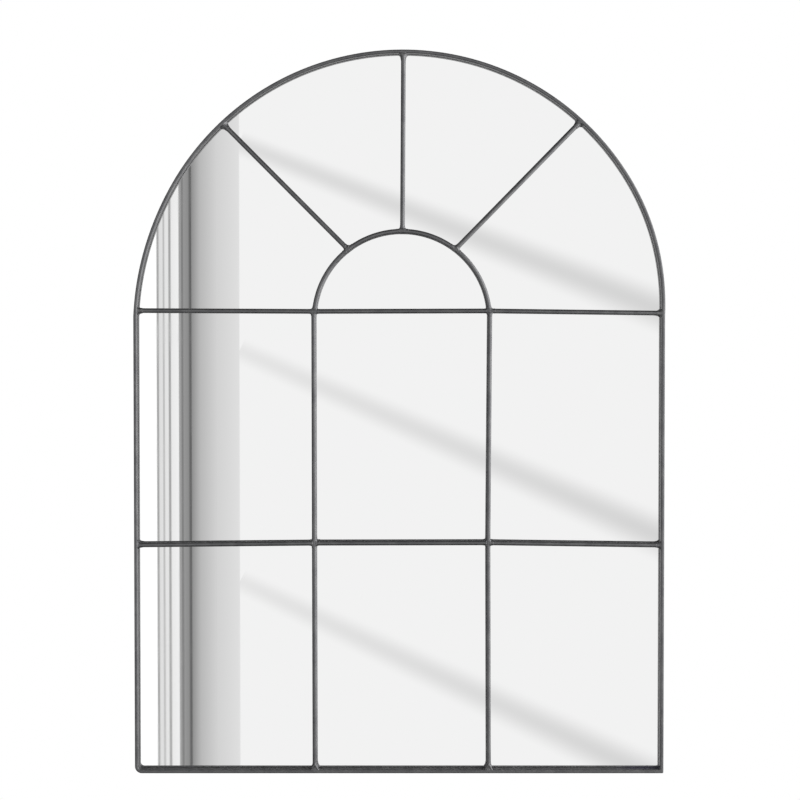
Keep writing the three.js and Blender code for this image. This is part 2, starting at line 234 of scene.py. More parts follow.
def archedLoop(name, inset, depth):
    half, low = halfWidth - inset, inset
    middle = spot(0, depth, (low + springZ) / 2)
    piece = begin(bpy.ops.mesh.primitive_plane_add, name, size=1, location=middle,
                  rotation=(math.pi / 2, 0, 0))
    bpy.ops.transform.resize(value=(2 * half * mm, 1, (springZ - low) * mm), center_override=middle)
    bpy.ops.mesh.delete(type="ONLY_FACE")
    pick("EDGE", lambda place, edge: place.z > springZ - 1)
    bpy.ops.mesh.delete(type="EDGE")
    pick("VERT", lambda place, corner: place.z > springZ - 1 and place.x > 0)
    bpy.ops.mesh.spin(steps=outline["archSteps"], angle=math.pi, axis=spinAxis,
                      center=spot(0, depth, springZ))
    selectAll()
    bpy.ops.mesh.remove_doubles(threshold=0.01 * mm)
    for side, radius in ((-1, outline["bend"] - inset), (1, outline["weld"])):
        pick("VERT", lambda place, corner: place.z < low + 0.1 and side * place.x > half - 0.1)
        bpy.ops.mesh.bevel(offset=max(radius, outline["weld"]) * mm, affect="VERTICES",
                           segments=outline["cornerSteps"])
    pick("EDGE", lambda place, edge: edge.calc_length() > 100 * mm)
    bpy.ops.mesh.subdivide(number_cuts=outline["cuts"])
    leave()
    lean(piece)
    return piece


# ---- outer frame: flat bar on edge ----
strip = {
    "arris": 1.4,           # the bar is rolled with round corners
    "arrisSteps": 6,
    "seamX": 289,           # butt weld in the bottom rail, ground flush but for a bead inside
    "seamDepth": 2.9,
    "seamSink": 0.4,
    "seamBead": (0.9, 2.6, 0.9),
}


def makeStrip():
    outer = archedLoop("frame_strip", 0, 0)
    inner = archedLoop("frame_strip_inner", outline["wall"], 0)
    piece = join([outer, inner])
    bpy.ops.object.mode_set(mode="EDIT")
    bpy.ops.mesh.select_mode(type="EDGE")
    selectAll()
    bpy.ops.mesh.bridge_edge_loops()
    selectAll()
    extrude((0, stripDepth * mm, 0))
    outward()
    leave()
    roundEdges(piece, strip["arris"], strip["arrisSteps"])
    flatten()
    return piece


# ---- grid of round rods ----
grid = {
    "rodDiameter": 5.5,
    "rodDepth": 3.95,       # the rods' centre, behind the front edge
    "columns": 3,
    "shift": 2.1,           # the uprights sit this far right of the middle
    "upperRise": 6.5,       # upper bar, above the springing line
    "archShift": 3.1,
    "archDrop": 2.9,        # the inner arch's centre, under the springing line
    "archSpread": 0.5,      # its radius is this much more than half the uprights' space
    "focusShift": 3.4,      # where the spokes' axes cross
    "focusRise": 14.8,
    "spokes": {"left": 134.9, "centre": 89.7, "right": 45.6},
    # errors of the hand welding, at the left wall, the uprights and the right wall
    "upperErrors": (0.4, -0.5, 0, -2.5),
    "lowerErrors": (-2.9, -0.9, -0.5, -3.1),
    # and at the bottom rail, the lower bar and the upper bar
    "uprightErrors": ((0.9, 0.4, 0), (0.9, 0, 1.8)),
    "sides": 40,
    "spacing": 8,           # of the rings along a rod
    "archSpacing": 4,
    "bury": 0.7,            # how far a rod's end runs into its weld
}

rodRadius = grid["rodDiameter"] / 2
rodSection = {"vertices": grid["sides"], "radius": rodRadius * mm, "fill_type": "NGON"}
insideHalf = halfWidth - outline["wall"]
columnHalf = insideHalf / grid["columns"]
upperZ = springZ + grid["upperRise"]
lowerZ = upperZ / 2
uprightX = (grid["shift"] - columnHalf, grid["shift"] + columnHalf)
barStations = (-insideHalf, *uprightX, insideHalf)
uprightStations = (outline["wall"], lowerZ, upperZ)
archRadius = columnHalf + grid["archSpread"]
archMiddle = Vector((grid["archShift"], 0, springZ - grid["archDrop"]))
focus = Vector((grid["focusShift"], 0, springZ + grid["focusRise"]))


# The error at a place along a bar, between the errors at its stations.
def errorAt(errors, stations, place):
    span = 0
    while span < len(stations) - 2 and place >= stations[span + 1]:
        span += 1
    share = (place - stations[span]) / (stations[span + 1] - stations[span])
    return errors[span] + (errors[span + 1] - errors[span]) * share


def upperAt(x):
    return upperZ + errorAt(grid["upperErrors"], barStations, x)


def lowerAt(x):
    return lowerZ + errorAt(grid["lowerErrors"], barStations, x)


def uprightAt(i, z):
    return uprightX[i] + errorAt(grid["uprightErrors"][i], uprightStations, z)


def lowerBarEnds(i, wallGap, uprightGap):
    start = -insideHalf + wallGap if i == 0 else uprightAt(i - 1, lowerZ) + uprightGap
    end = insideHalf - wallGap if i == 2 else uprightAt(i, lowerZ) - uprightGap
    return start, end


# The angle at which the inner arch is a distance above the upper bar, on its right or left.
def footAngle(side, distance):
    height = upperAt(archMiddle.x + side * archRadius) + distance
    return math.asin((height - archMiddle.z) / archRadius)


# Where a spoke's axis leaves the inner arch and reaches the frame, each moved along it.
def spokeEnds(degrees, innerGap, outerGap):
    along = inPlane(degrees)

    def reach(middle, radius):
        offset = focus - middle
        half = -offset.dot(along)
        return half + math.sqrt(half ** 2 + radius ** 2 - offset.length_squared)

    inner = reach(archMiddle, archRadius) + innerGap
    outer = reach(Vector((outline["lean"], 0, springZ)), insideHalf) - outerGap
    return focus + along * inner, focus + along * outer


def between(start, end, spacing):
    steps = max(1, round((end - start) / spacing))
    return [start + (end - start) * i / steps for i in range(steps + 1)]


# Every straight piece of the grid as a line of places, shortened or run on at its ends. The
# rods and their tapes share these lines.
def gridLines(wallGap, crossGap, spacing):
    lines = {}
    span = between(-insideHalf + wallGap, insideHalf - wallGap, spacing)
    lines["upper_bar"] = [Vector((x, 0, upperAt(x))) for x in span]
    for i, name in enumerate(("upright_left", "upright_right")):
        top = upperAt(uprightX[i]) - crossGap
        span = between(outline["wall"] + wallGap, top, spacing)
        lines[name] = [Vector((uprightAt(i, z), 0, z)) for z in span]
    for i, name in enumerate(("lower_bar_left", "lower_bar_centre", "lower_bar_right")):
        span = between(*lowerBarEnds(i, wallGap, crossGap), spacing)
        lines[name] = [Vector((x, 0, lowerAt(x))) for x in span]
    for name, degrees in grid["spokes"].items():
        start, end = spokeEnds(degrees, crossGap, wallGap)
        span = between(0, (end - start).length, spacing)
        along = (end - start).normalized()
        lines["spoke_" + name] = [start + along * distance for distance in span]
    return lines


def tilt(direction):
    return (0, math.atan2(direction.x, direction.z), 0)


# Sweeps the section that a primitive draws along a line of places at one depth.
def sweep(name, section, line, depth, **settings):
    places = [spot(place.x, depth, place.z) for place in line]
    piece = begin(section, name, location=places[0], rotation=tilt(line[-1] - line[0]), **settings)
    for before, after in zip(places, places[1:]):
        extrude(after - before)
    outward()
    leave()
    return piece


# Sweeps it along the inner arch, whose feet end a distance above the upper bar.
def sweepArch(name, section, distance, depth, **settings):
    start = footAngle(1, distance)
    arc = math.pi - start - footAngle(-1, distance)
    foot = archMiddle + inPlane(math.degrees(start)) * archRadius
    piece = begin(section, name, location=spot(foot.x, depth, foot.z), rotation=(0, -start, 0),
                  **settings)
    bpy.ops.mesh.delete(type="ONLY_FACE")
    selectAll()
    bpy.ops.mesh.spin(steps=round(arc * archRadius / grid["archSpacing"]), angle=arc,
                      axis=spinAxis, center=spot(archMiddle.x, depth, archMiddle.z))
    selectAll()
    bpy.ops.mesh.fill_holes(sides=0)
    outward()
    leave()
    return piece


def makeRods():
    circle = bpy.ops.mesh.primitive_circle_add
    made = {}
    lines = gridLines(-grid["bury"] / 2, rodRadius - grid["bury"], grid["spacing"])
    for name, line in lines.items():
        made[name] = sweep(name + "_rod", circle, line, grid["rodDepth"], **rodSection)
    made["inner_arch"] = sweepArch("inner_arch_rod", circle, rodRadius - grid["bury"],
                                   grid["rodDepth"], **rodSection)
    for piece in made.values():
        smooth(piece, 60)
    return made


# ---- foam tape behind the rods ----
tape = {
    "width": 4,
    "wallGap": 5.5,         # clear of the welds
    "crossGap": 3,
    "round": 0.35,
    "spacing": 8,
}


def tapeSection(**settings):
    bpy.ops.mesh.primitive_plane_add(size=tape["width"] * mm, **settings)
    flat = thicknessOf("tape_upper_bar") / tape["width"]
    bpy.context.object.scale = (1, flat, 1)


def makeTapes():
    depth = frontOf("tape_upper_bar") + thicknessOf("tape_upper_bar") / 2
    made = {}
    for name, line in gridLines(tape["wallGap"], tape["crossGap"], tape["spacing"]).items():
        made["tape_" + name] = sweep("tape_" + name + "_foam", tapeSection, line, depth)
    made["tape_inner_arch"] = sweepArch("tape_inner_arch_foam", tapeSection, tape["crossGap"],
                                        depth)
    for piece in made.values():
        roundEdges(piece, tape["round"], 2)
    return made


# ---- fillet welds ----
weld = {
    # leg along what the rod is welded to, and rise up the rod
    "wall": (3.2, 5.5),
    "foot": (3.4, 7),       # the uprights' feet stand on broader welds
    "crossing": (1.7, 2.6),
    "spokeInner": (2.4, 3.8),
    "spokeOuter": (4, 6.5),
    "steep": (1, 0.45),     # shares of the leg and of the rise, for each of the two flares
    "shallow": (0.4, 1),
    "past": 1,              # how far the stub of the rod runs on past its flares
    "along": 2,             # and the stubs of what it is welded to
    "toe": (4, 7, 1),       # spread, rise and radius of the foot's two toes
    "toeDrop": 0.6,
    "toeDepth": 1.35,
    "sides": 28,
    "sink": 0.8,            # into what it is welded to
    "skin": 0.12,           # metal over the rod
    "swell": 0.35,          # share of the leg that stands out to the front
    "voxel": 0.35,
    "settle": 10,           # rounds of smoothing
    "lumps": (1.7, 0.35),
    "waves": (5, 0.5),
}


def addFlare(foot, direction, leg, rise):
    depth = rise + weld["sink"]
    middle = foot + direction * (rise - weld["sink"]) / 2
    place = spot(middle.x, grid["rodDepth"], middle.z)
    wide, narrow = rodRadius + leg, rodRadius + weld["skin"]
    bpy.ops.mesh.primitive_cone_add(vertices=weld["sides"], radius1=wide * mm,
                                    radius2=narrow * mm, depth=depth * mm, location=place,
                                    rotation=tilt(direction))
    flat = (rodRadius + leg * weld["swell"]) / wide
    bpy.ops.transform.resize(value=(1, flat, 1), center_override=place)


def addStub(foot, direction, length):
    middle = foot + direction * length / 2
    place = spot(middle.x, grid["rodDepth"], middle.z)
    bpy.ops.mesh.primitive_cylinder_add(vertices=weld["sides"], depth=length * mm,
                                        radius=(rodRadius + weld["skin"]) * mm,
                                        location=place, rotation=tilt(direction))


# A weld is a short stub of each rod in the joint, with a steep and a shallow flare at the end of
# each rod that is welded on. All of it is melted into one lump.
def makeWeld(name, arms, stubs=(), kind="wall"):
    leg, rise = weld[kind]
    foot, direction = arms[0]
    place = spot(foot.x, grid["rodDepth"], foot.z)
    piece = begin(bpy.ops.mesh.primitive_uv_sphere_add, name, radius=rodRadius * mm,
                  segments=16, ring_count=8, location=place)
    for foot, direction in arms:
        addStub(foot - direction * weld["sink"], direction, rise + weld["past"] + weld["sink"])
        for legShare, riseShare in (weld["steep"], weld["shallow"]):
            addFlare(foot, direction, leg * legShare, rise * riseShare)
    for foot, direction in stubs:
        addStub(foot, direction, leg + rodRadius + weld["along"])
    if kind == "foot":
        addToes(arms[0][0])
    leave()
    melt(piece)
    return piece


# Two runs of metal that fork from the rod and end over the rail's arris.
def addToes(foot):
    spread, rise, radius = weld["toe"]
    for side in (-1, 1):
        run = Vector((side * spread, 0, -rise))
        middle = foot + Vector((0, 0, rise - weld["toeDrop"])) + run / 2
        bpy.ops.mesh.primitive_cylinder_add(vertices=16, radius=radius * mm,
                                            depth=(run.length + radius) * mm,
                                            location=spot(middle.x, weld["toeDepth"], middle.z),
                                            rotation=tilt(run))


def melt(piece):
    modify(piece, "REMESH", mode="VOXEL", voxel_size=weld["voxel"] * mm)
    modify(piece, "SMOOTH", factor=0.5, iterations=weld["settle"])
    unevenness(piece, *weld["waves"])
    unevenness(piece, *weld["lumps"])
    smooth(piece, 180)


def makeWelds():
    left, right, up, down = inPlane(180), inPlane(0), inPlane(90), inPlane(270)
    made = []
    for side, x, inward in (("left", -insideHalf, right), ("right", insideHalf, left)):
        made.append(makeWeld("weld_upper_" + side, [(Vector((x, 0, upperAt(x))), inward)]))
        made.append(makeWeld("weld_lower_" + side, [(Vector((x, 0, lowerAt(x))), inward)]))
    for i, side in enumerate(("left", "right")):
        foot = Vector((uprightAt(i, outline["wall"]), 0, outline["wall"]))
        made.append(makeWeld("weld_foot_" + side, [(foot, up)], kind="foot"))
        # where the upright and the inner arch meet the upper bar
        x = uprightAt(i, upperZ)
        middle = Vector((x, 0, upperAt(x)))
        angle = footAngle(2 * i - 1, rodRadius)
        angle = angle if i == 1 else math.pi - angle
        archFoot = archMiddle + inPlane(math.degrees(angle)) * archRadius
        tangent = inPlane(math.degrees(angle) + (90 if i == 1 else -90))
        made.append(makeWeld("weld_crossing_upper_" + side,
                             [(middle + down * rodRadius, down), (archFoot, tangent)],
                             [(middle, left), (middle, right)], "crossing"))
        # where the lower bar's lengths meet the upright
        x = uprightAt(i, lowerZ)
        middle = Vector((x, 0, lowerAt(x)))
        arms = [(middle + way * rodRadius, way) for way in (left, right)]
        made.append(makeWeld("weld_crossing_lower_" + side, arms,
                             [(middle, up), (middle, down)], "crossing"))
    for name, degrees in grid["spokes"].items():
        along = inPlane(degrees)
        inner, outer = spokeEnds(degrees, rodRadius, 0)
        arch = inner - along * rodRadius
        radius = arch - archMiddle
        around = inPlane(math.degrees(math.atan2(radius.z, radius.x)) + 90)
        made.append(makeWeld("weld_spoke_inner_" + name, [(inner, along)],
                             [(arch, around), (arch, -around)], "spokeInner"))
        made.append(makeWeld("weld_spoke_outer_" + name, [(outer, -along)], kind="spokeOuter"))
    return made


# ---- glass, foam sheet and backing board ----
panels = {
    "glassInset": 4.3,      # from the outside of the frame
    "foamInset": 8,
    "boardInset": 5.5,
    "glassArris": 0.12,
    "boardArris": 0.25,
}


def makePanel(name, node, inset, arris, steps):
    piece = archedLoop(name, inset, frontOf(node))
    bpy.ops.object.mode_set(mode="EDIT")
    selectAll()
    bpy.ops.mesh.edge_face_add()
    extrude((0, thicknessOf(node) * mm, 0))
    outward()
    leave()
    roundEdges(piece, arris, steps)
    flatten()
    return piece


# ---- tabs bent over the board ----
tab = {
    "thickness": 1.2,
    "width": 14,
    "foot": 12,             # how far it reaches in from the wall
    "leg": 5.5,
    "bend": 1.8,            # outside radius
    "corner": 2.5,
    "gap": 0.3,
    "edge": 0.2,
    "angles": (45, 90, 135),
    "lowerRise": 130,
    "upperDrop": 127,
    "spread": 150,
}


# A tab against a wall at x = 0, facing +x, its middle at the height of the drawing's zero.
def makeTab():
    back = frontOf("tab_arch_crown")
    leg = tab["gap"] + tab["thickness"] / 2
    bend = tab["gap"] + tab["bend"]
    length = tab["leg"] + tab["thickness"] - tab["bend"]
    middle = spot(leg, back + tab["bend"] + length / 2, 0)
    piece = begin(bpy.ops.mesh.primitive_plane_add, "tab_pattern", size=1, location=middle,
                  rotation=(0, math.pi / 2, 0))
    bpy.ops.transform.resize(value=(1, length * mm, tab["width"] * mm), center_override=middle)
    pick("EDGE", lambda place, edge: place.y < back + tab["bend"] + 0.1)
    bpy.ops.mesh.spin(steps=6, angle=math.pi / 2, axis=(0, 0, 1),
                      center=spot(bend, back + tab["bend"], 0))
    extrude(((tab["foot"] - bend) * mm, 0, 0))
    pick("VERT", lambda place, corner: place.x > tab["foot"] - 0.1)
    bpy.ops.mesh.bevel(offset=tab["corner"] * mm, affect="VERTICES", segments=5)
    outward()
    leave()
    modify(piece, "SOLIDIFY", thickness=tab["thickness"] * mm, offset=0)
    roundEdges(piece, tab["edge"], 2)
    return piece


def placeCopy(pattern, name, x, z, turn):
    piece = duplicate(pattern, name)
    piece.data.transform(Matrix.Translation(-spot(0, 0, 0)))
    piece.rotation_euler = (0, turn, 0)
    piece.location = spot(x, 0, z)
    bpy.ops.object.transform_apply(location=True, rotation=True, scale=True)
    return piece


# Where each tab stands on the wall, and the way that it faces.
def tabPlaces():
    spring = springZ - tab["upperDrop"]
    places = {
        "tab_bottom_left": (-tab["spread"], outline["wall"], 90),
        "tab_bottom_right": (tab["spread"], outline["wall"], 90),
        "tab_left_lower": (-insideHalf, tab["lowerRise"], 0),
        "tab_left_upper": (-insideHalf, spring, 0),
        "tab_right_lower": (insideHalf, tab["lowerRise"], 180),
        "tab_right_upper": (insideHalf, spring, 180),
    }
    for side, degrees in zip(("right", "crown", "left"), tab["angles"]):
        ease = min(min(degrees, 180 - degrees) / outline["leanEase"], 1)
        leant = outline["lean"] * math.sin(ease * math.pi / 2)
        wall = inPlane(degrees) * insideHalf
        places["tab_arch_" + side] = (wall.x + leant, wall.z + springZ, degrees + 180)
    return places


def makeTabs():
    pattern = makeTab()
    made = {node: placeCopy(pattern, node + "_steel", x, z, -math.radians(degrees))
            for node, (x, z, degrees) in tabPlaces().items()}
    bpy.data.objects.remove(pattern)
    return made


# ---- hanger lugs and D-rings ----
lug = {
    "thickness": 1.5,
    "reach": 36,
    "height": 26,
    "corner": 5,
    "curl": 200,            # degrees, where the curled edge ends
    "clearance": 0.35,      # of the wire in the curl
    "tongue": 13,           # width of the curl
    "gap": 0.3,             # to the wall
    "edge": 0.25,
}
ring = {
    "wire": 2.5,
    "half": 10,             # to the wire's centre
    "corner": 3,
    "leg": 5,
    "butt": 0.4,            # between the wire's two ends, inside the curl
    "sides": 20,
}
pivotDepth = frontOf("hanger_lug_left") + lug["thickness"] + ring["wire"] / 2 + lug["clearance"]
ringX = insideHalf - lug["gap"] - lug["reach"] + ring["half"]


# The right-hand lug: a plate on the board's back, its top edge curled over to hold the ring.
def makeLug():
    depth = frontOf("hanger_lug_left") + lug["thickness"] / 2
    right = insideHalf - lug["gap"]
    middle = spot(right - lug["reach"] / 2, depth, springZ - lug["height"] / 2)
    piece = begin(bpy.ops.mesh.primitive_plane_add, "hanger_lug_right_plate", size=1,
                  location=middle, rotation=(math.pi / 2, 0, 0))
    bpy.ops.transform.resize(value=(lug["reach"] * mm, 1, lug["height"] * mm),
                             center_override=middle)
    for side in (-1, 1):
        selectAll()
        bpy.ops.mesh.bisect(plane_co=spot(ringX + side * lug["tongue"] / 2, depth, springZ),
                            plane_no=(1, 0, 0))
    pick("VERT", lambda place, corner: place.x < right - lug["reach"] + 0.1
         and place.z < springZ - 1)
    bpy.ops.mesh.bevel(offset=lug["corner"] * mm, affect="VERTICES", segments=8)
    pick("EDGE", lambda place, edge: place.z > springZ - 0.1
         and abs(place.x - ringX) < lug["tongue"] / 2)
    bpy.ops.mesh.spin(steps=24, angle=math.radians(90 + lug["curl"]), axis=(1, 0, 0),
                      center=spot(ringX, pivotDepth, springZ))
    outward()
    leave()
    modify(piece, "SOLIDIFY", thickness=lug["thickness"] * mm, offset=0)
    roundEdges(piece, lug["edge"], 2)
    return piece


# The right-hand ring hangs from its straight side. It is one wire, bent from butt to butt.
def makeRing():
    start = spot(ringX + ring["butt"] / 2, pivotDepth, springZ)
    side = ring["half"] - ring["corner"]
    low = springZ - ring["corner"] - ring["leg"]
    piece = begin(bpy.ops.mesh.primitive_circle_add, "d_ring_right_wire", vertices=ring["sides"],
                  radius=ring["wire"] / 2 * mm, location=start, rotation=tilt(Vector((1, 0, 0))))

    def bend(x, z, degrees, steps):
        bpy.ops.mesh.spin(steps=steps, angle=-math.radians(degrees), axis=spinAxis,
                          center=spot(x, pivotDepth, z))

    straight = side - ring["butt"] / 2
    extrude((straight * mm, 0, 0))
    bend(ringX + side, springZ - ring["corner"], 90, 8)
    extrude((0, 0, -ring["leg"] * mm))
    bend(ringX, low, 180, 32)
    extrude((0, 0, ring["leg"] * mm))
    bend(ringX - side, springZ - ring["corner"], 90, 8)
    extrude((straight * mm, 0, 0))
    selectAll()
    bpy.ops.mesh.fill_holes(sides=0)
    outward()
    leave()
    smooth(piece, 60)
    return piece


# A mirrored copy across x = 0, turned the right way out again.
def otherSide(piece, name):
    copy = duplicate(piece, name)
    copy.scale = (-1, 1, 1)
    bpy.ops.object.transform_apply(location=True, rotation=True, scale=True)
    bpy.ops.object.mode_set(mode="EDIT")
    outward()
    leave()
    return copy


# ---- tacks: small beads that hold the tabs and the lugs to the frame ----
tack = {
    "tab": (0.9, 2, 1.3),       # half sizes: out from the wall, in depth, along the wall
    "tabDepth": 4.4,            # behind the board side of the tab
    "beside": 0.2,              # how far past the tab's edge, and out from the wall
    "out": 0.4,
    "lug": (1.1, 1.2, 4.2),
    "lugDrops": (7, 19),        # under the springing line
    "lugOut": 0.5,
    "lumps": (1.1, 0.3),
}


# A lumpy bead, its middle at a place, turned about the depth axis.
def makeBead(name, place, sizes, turn=0):
    piece = begin(bpy.ops.mesh.primitive_uv_sphere_add, name, radius=mm, segments=24, ring_count=12,
                  location=place, scale=sizes, rotation=(0, turn, 0))
    leave()
    unevenness(piece, *tack["lumps"])
    smooth(piece, 180)
    return piece


def makeTacks(places):
    made = []
    depth = frontOf("tab_arch_crown") + tack["tabDepth"]
    for node, (x, z, degrees) in places.items():
        along = inPlane(degrees + 90) * (tab["width"] / 2 + tack["beside"])
        wall = Vector((x, 0, z)) + inPlane(degrees) * tack["out"]
        pair = [makeBead("tack_" + node, spot(place.x, depth, place.z), tack["tab"],
                         -math.radians(degrees)) for place in (wall - along, wall + along)]
        made.append(join(pair))
    depth = frontOf("hanger_lug_left") + lug["thickness"]
    for side, sign in (("left", -1), ("right", 1)):
        x = sign * (insideHalf - tack["lugOut"])
        pair = [makeBead("tack_hanger_lug_" + side, spot(x, depth, springZ - drop), tack["lug"])
                for drop in tack["lugDrops"]]
        made.append(join(pair))
    return made


pieces = {"outer_frame": makeStrip()}
print("frame bent and welded")
pieces.update(makeRods())
print("grid welded in")
pieces.update(makeTapes())
print("tape stuck on")
welds = makeWelds()
print("welds laid:", len(welds))
pieces["mirror_glass"] = makePanel("mirror_pane", "mirror_glass", panels["glassInset"],
                                   panels["glassArris"], 2)
pieces["foam_sheet"] = makePanel("foam_layer", "foam_sheet", panels["foamInset"],
                                 panels["boardArris"], 2)
pieces["backing_board"] = makePanel("back_panel", "backing_board", panels["boardInset"],
                                    panels["boardArris"], 1)
print("glass and board laid in")
pieces.update(makeTabs())
pieces["hanger_lug_right"] = makeLug()
pieces["hanger_lug_left"] = otherSide(pieces["hanger_lug_right"], "hanger_lug_left_plate")
pieces["d_ring_right"] = makeRing()
pieces["d_ring_left"] = otherSide(pieces["d_ring_right"], "d_ring_left_wire")
tacks = makeTacks(tabPlaces())
seamPlace = spot(strip["seamX"], strip["seamDepth"], outline["wall"] - strip["seamSink"])
seam = makeBead("weld_seam", seamPlace, strip["seamBead"])
print("tabs and hangers fitted, tacks laid:", len(tacks))


# ---- materials ----
def linear(code):
    shares = [int(code[i:i + 2], 16) / 255 for i in (1, 3, 5)]
    return (*(share / 12.92 if share <= 0.04045 else ((share + 0.055) / 1.055) ** 2.4
              for share in shares), 1)


# Adds a node and gives one of its outputs. An input is linked where it is given another node's
# output, and set elsewhere. A colour is given as its hex code.
def addNode(material, kind, inputs=None, out=0, **settings):
    tree = material.node_tree
    made = tree.nodes.new("ShaderNode" + kind)
    for name, value in settings.items():
        setattr(made, name, value)
    for name, value in (inputs or {}).items():
        if isinstance(value, bpy.types.NodeSocket):
            tree.links.new(value, made.inputs[name])
        else:
            made.inputs[name].default_value = linear(value) if isinstance(value, str) else value
    return made.outputs[out] if len(made.outputs) else None


def startMaterial(name):
    material = bpy.data.materials.new(name)
    material.use_nodes = True
    material.node_tree.nodes.clear()
    return material, addNode(material, "TexCoord", out="Object")


def finishMaterial(material, **inputs):
    names = {name.replace("_", " "): value for name, value in inputs.items()}
    addNode(material, "OutputMaterial", {"Surface": addNode(material, "BsdfPrincipled", names)})
    return material


# The scale of a pattern whose features are about so many millimetres across.
def scaleOf(size):
    return 1 / (size * mm)


# Satin gunmetal paint on mild steel: metal flake in dark grey, so it holds soft broad highlights
# and brightens at a glancing angle. The sprayed coat has a fine peel and a slightly cloudy
# thickness.
paint = {
    "dark": "#565658",
    "light": "#656566",
    "thinCoatAndHighlight": "#747475",          # thinner coat on the arrises, and a painted highlight along them
    "thinCoatAndHighlightShare": 0.5,
    "railShade": "#3a3650",          # painted shade, darker and bluish, along the rail's inner face
    "railShadeShare": 0.6,
    "railShadeDepth": 8.8,           # it lies along the rail's inner face, by the glass
    "railShadeScale": (1, 6, 5),     # how fast it fades along the rail, in depth and in height
    "railShadeReach": (10, 52),      # mm from the seam along the rail, full and none
    "glance": "#f2f2f2",        # tint of the gloss at a glancing angle
    "metallic": 0.85,
    "roughness": (0.26, 0.36),
    "dust": 0.85,               # roughness of the bottom rail's top, where dust dulls it
    "dustReach": (6, 12),       # mm above the bottom edge, full and none
    "cloud": 14,                # mm
    "peel": 0.9,
    "peelDepth": 0.0012,
    "brush": 3.5,
    "brushDepth": 0.005,
    "wave": 30,                 # of the drawn steel under it
    "waveDepth": 0.25,
}


def makePaint():
    material, place = startMaterial("gunmetal_satin_paint")
    clouds, peel, brushed, waves = (
        addNode(material, "TexNoise", {"Vector": place, "Scale": scaleOf(paint[name]),
                                       "Detail": detail})
        for name, detail in (("cloud", 3), ("peel", 2), ("brush", 2), ("wave", 1)))
    tone = addNode(material, "MapRange", {"Value": clouds, 1: 0.32, 2: 0.68})
    coat = addNode(material, "Mix", {0: tone, 6: paint["dark"], 7: paint["light"]}, 2,
                   data_type="RGBA")
    # Lighter on the arrises: a thinner coat there, and a painted highlight along the ridges.
    point = addNode(material, "NewGeometry", out="Pointiness")
    edge = addNode(material, "MapRange", {"Value": point, 1: 0.52, 2: 0.6, 3: 0,
                                          4: paint["thinCoatAndHighlightShare"]})
    rubbedAndHighlit = addNode(material, "Mix", {0: edge, 6: coat, 7: paint["thinCoatAndHighlight"]}, 2, data_type="RGBA")
    # Painted shade: a darker bluish band on the bottom rail's inner face by the glass, fading away
    # from the right corner.
    railShadePlace = spot(strip["seamX"], paint["railShadeDepth"], outline["wall"])
    away = addNode(material, "VectorMath", {0: place, 1: railShadePlace}, operation="SUBTRACT")
    away = addNode(material, "VectorMath", {0: away, 1: paint["railShadeScale"]}, operation="MULTIPLY")
    away = addNode(material, "VectorMath", {0: away}, "Value", operation="LENGTH")
    full, none = (reach * mm for reach in paint["railShadeReach"])
    railShade = addNode(material, "MapRange", {"Value": away, 1: full, 2: none, 3: paint["railShadeShare"],
                                          4: 0}, interpolation_type="SMOOTHSTEP")
    colour = addNode(material, "Mix", {0: railShade, 6: rubbedAndHighlit, 7: paint["railShade"]}, 2,
                     data_type="RGBA")
    low, high = paint["roughness"]
    rough = addNode(material, "MapRange", {"Value": brushed, 1: 0.3, 2: 0.7, 3: low, 4: high})
    normal = addNode(material, "NewGeometry", out="Normal")
    facing = addNode(material, "SeparateXYZ", {0: normal}, "Z")
    facing = addNode(material, "MapRange", {"Value": facing, 1: 0.3, 2: 0.8})
    full, none = (spot(0, 0, height).z for height in paint["dustReach"])
    height = addNode(material, "SeparateXYZ", {0: place}, "Z")
    height = addNode(material, "MapRange", {"Value": height, 1: none, 2: full})
    dusty = addNode(material, "Math", {0: facing, 1: height}, operation="MULTIPLY")
    rough = addNode(material, "Mix", {0: dusty, 2: rough, 3: paint["dust"]})
    steel = addNode(material, "Bump", {"Height": waves, "Distance": paint["waveDepth"] * mm})
    coarse = addNode(material, "Bump", {"Height": brushed, "Distance": paint["brushDepth"] * mm,
                                        "Normal": steel})
    fine = addNode(material, "Bump", {"Height": peel, "Distance": paint["peelDepth"] * mm,
                                      "Normal": coarse})
    return finishMaterial(material, Base_Color=colour, Roughness=rough,
                          Metallic=paint["metallic"], Specular_Tint=paint["glance"], Normal=fine)


# Silvered float glass, front face: a bright neutral mirror with a trace of haze left by wiping.
mirror = {"face": "#f2f2f2", "haze": 60, "roughness": (0.008, 0.02)}


def makeMirror():
    material, place = startMaterial("silvered_glass_face")
    haze = addNode(material, "TexNoise", {"Vector": place, "Scale": scaleOf(mirror["haze"]),
                                          "Detail": 5, "Distortion": 0.6})
    low, high = mirror["roughness"]
    rough = addNode(material, "MapRange", {"Value": haze, 1: 0.35, 2: 0.7, 3: low, 4: high})
    return finishMaterial(material, Base_Color=mirror["face"], Metallic=1.0, Roughness=rough)


# The glass's seamed edge is ground, so it is frosted, and green from the iron in float glass.
# The paint on its back, which seals the silvering, is grey and satin, with a roller's stipple.
grained = {
    "seamed_glass_edge": ("#5d7d70", "#9cb8ab", 0.7, 4, 0.05, 0.35),
    "mirror_backing_paint": ("#6e7479", "#7b8186", 2, 3, 0.03, 0.55),
}


# Two tones and a bump from one noise.
def makeGrained(name):
    dark, light, size, detail, depth, roughness = grained[name]
    material, place = startMaterial(name)
    grain = addNode(material, "TexNoise", {"Vector": place, "Scale": scaleOf(size),
                                           "Detail": detail})
    colour = addNode(material, "Mix", {0: grain, 6: dark, 7: light}, 2, data_type="RGBA")
    bump = addNode(material, "Bump", {"Height": grain, "Distance": depth * mm})
    return finishMaterial(material, Base_Color=colour, Roughness=roughness, Normal=bump)


